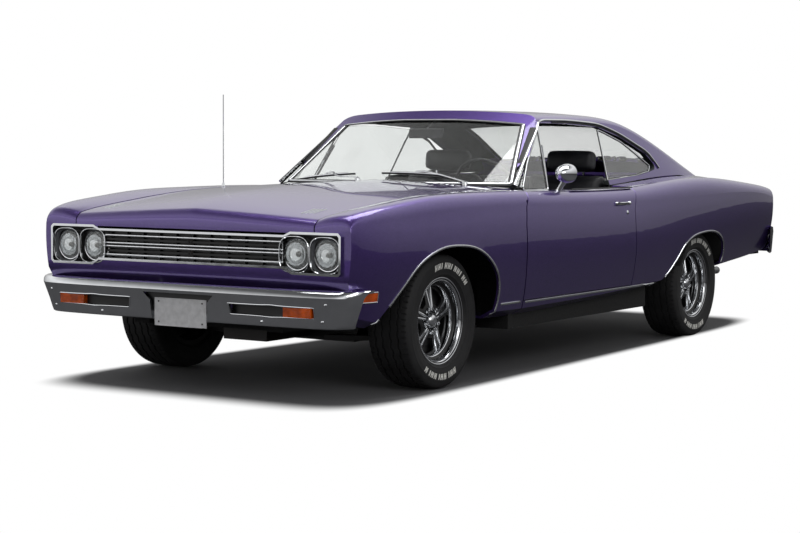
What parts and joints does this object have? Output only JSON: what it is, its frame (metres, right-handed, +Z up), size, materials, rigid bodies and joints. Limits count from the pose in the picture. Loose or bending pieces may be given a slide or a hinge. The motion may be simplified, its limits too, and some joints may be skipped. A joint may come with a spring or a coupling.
{
  "type": "muscle car",
  "caption": "Two-door hardtop muscle car with long hood, fastback roof, steered front wheels, opening doors, hood and boot lid.",
  "frame": {"origin": "on the ground at the middle of the car's length and width", "axes": "+X to the car's left, -Y forward, +Z up"},
  "size_m": [1.9412, 5.149, 1.4199],
  "materials": {
    "amber_lens": "gloss",
    "body_paint": "gloss",
    "bright_steel": "satin",
    "chassis_black": "matte",
    "chrome_plate": "polished",
    "engine_paint": "satin",
    "exhaust_steel": "satin",
    "grille_black": "satin",
    "interior_plastic": "satin",
    "lamp_glass": "clear",
    "plate_metal": "satin",
    "red_lens": "gloss",
    "seat_vinyl": "satin",
    "tank_steel": "matte",
    "tinted_glass": "clear",
    "tyre_rubber": "matte",
    "underbody_black": "matte",
    "wheel_chrome": "polished"
  },
  "bodies": {
    "body": {"amber_lamps": "amber_lens", "antenna": "bright_steel", "cowl_panel": "body_paint", "dashboard": "interior_plastic", "driveline": "chassis_black", "engine_block": "engine_paint", "exhaust": "exhaust_steel", "floor_pan": "underbody_black", "front_bumper": "chrome_plate", "front_fenders": "body_paint", "front_frame": "underbody_black", "front_seats": "seat_vinyl", "front_suspension": "chassis_black", "front_valance": "body_paint", "fuel_tank": "tank_steel", "grille": "grille_black", "headlamps": "lamp_glass", "inside_mirror": "bright_steel", "lamp_surround": "chrome_plate", "licence_plate": "plate_metal", "quarter_panels": "body_paint", "quarter_windows": "tinted_glass", "rear_axle": "chassis_black", "rear_bumper": "chrome_plate", "rear_frame": "underbody_black", "rear_seat": "seat_vinyl", "rear_window": "tinted_glass", "rockers": "body_paint", "roof_panel": "body_paint", "tail_lamps": "red_lens", "tail_panel": "body_paint", "windshield": "tinted_glass", "wipers": "bright_steel"},
    "door_left": {"door_left": "body_paint", "vent_glass_left": "tinted_glass", "door_chrome_left": "chrome_plate"},
    "door_right": {"door_right": "body_paint", "vent_glass_right": "tinted_glass", "door_chrome_right": "chrome_plate", "door_glass_right": "tinted_glass"},
    "hood": {"hood": "body_paint"},
    "boot_lid": {"boot_lid": "body_paint"},
    "steering_wheel": {"steering_wheel": "interior_plastic"},
    "knuckle_left": {"knuckle_left": "chassis_black"},
    "knuckle_right": {"knuckle_right": "chassis_black"},
    "wheel_front_left": {"wheel_front_left": "wheel_chrome", "tyre_front_left": "tyre_rubber"},
    "wheel_front_right": {"wheel_front_right": "wheel_chrome", "tyre_front_right": "tyre_rubber"},
    "wheel_rear_left": {"wheel_rear_left": "wheel_chrome", "tyre_rear_left": "tyre_rubber"},
    "wheel_rear_right": {"wheel_rear_right": "wheel_chrome", "tyre_rear_right": "tyre_rubber"}
  },
  "joints": [
    {"name": "steer_left", "type": "hinge", "parent": "body", "child": "knuckle_left", "pos_m": [0.712, -1.6695, 0.323], "axis": [0, 0, 1], "range_deg": [-32, 32]},
    {"name": "steer_right", "type": "hinge", "parent": "body", "child": "knuckle_right", "pos_m": [-0.712, -1.6695, 0.323], "axis": [0, 0, 1], "range_deg": [-32, 32]},
    {"name": "steering_wheel_turn", "type": "hinge", "parent": "body", "child": "steering_wheel", "pos_m": [0.37, -0.4075, 0.902], "axis": [0, 0.9135, 0.4067], "range_deg": [-520, 520]},
    {"name": "door_left_hinge", "type": "hinge", "parent": "body", "child": "door_left", "pos_m": [0.935, -0.9935, 0.5], "axis": [0, 0, -1], "range_deg": [0, 65]},
    {"name": "door_right_hinge", "type": "hinge", "parent": "body", "child": "door_right", "pos_m": [-0.935, -0.9935, 0.5], "axis": [0, 0, 1], "range_deg": [0, 65]},
    {"name": "hood_hinge", "type": "hinge", "parent": "body", "child": "hood", "pos_m": [0, -0.9795, 0.978], "axis": [-1, 0, 0], "range_deg": [0, 50]},
    {"name": "boot_lid_hinge", "type": "hinge", "parent": "body", "child": "boot_lid", "pos_m": [0, 1.7675, 0.979], "axis": [1, 0, 0], "range_deg": [0, 60]},
    {"name": "spin_front_left", "type": "hinge", "parent": "knuckle_left", "child": "wheel_front_left", "pos_m": [0.7555, -1.6695, 0.323], "axis": [1, 0, 0], "continuous": true},
    {"name": "spin_front_right", "type": "hinge", "parent": "knuckle_right", "child": "wheel_front_right", "pos_m": [-0.7555, -1.6695, 0.323], "axis": [1, 0, 0], "continuous": true},
    {"name": "spin_rear_left", "type": "hinge", "parent": "body", "child": "wheel_rear_left", "pos_m": [0.7525, 1.2765, 0.323], "axis": [1, 0, 0], "continuous": true},
    {"name": "spin_rear_right", "type": "hinge", "parent": "body", "child": "wheel_rear_right", "pos_m": [-0.7525, 1.2765, 0.323], "axis": [1, 0, 0], "continuous": true}
  ],
  "couplings": [
    {"joint": "steer_right", "follows": "steer_left", "ratio": 1},
    {"joint": "steering_wheel_turn", "follows": "steer_left", "ratio": 16}
  ]
}
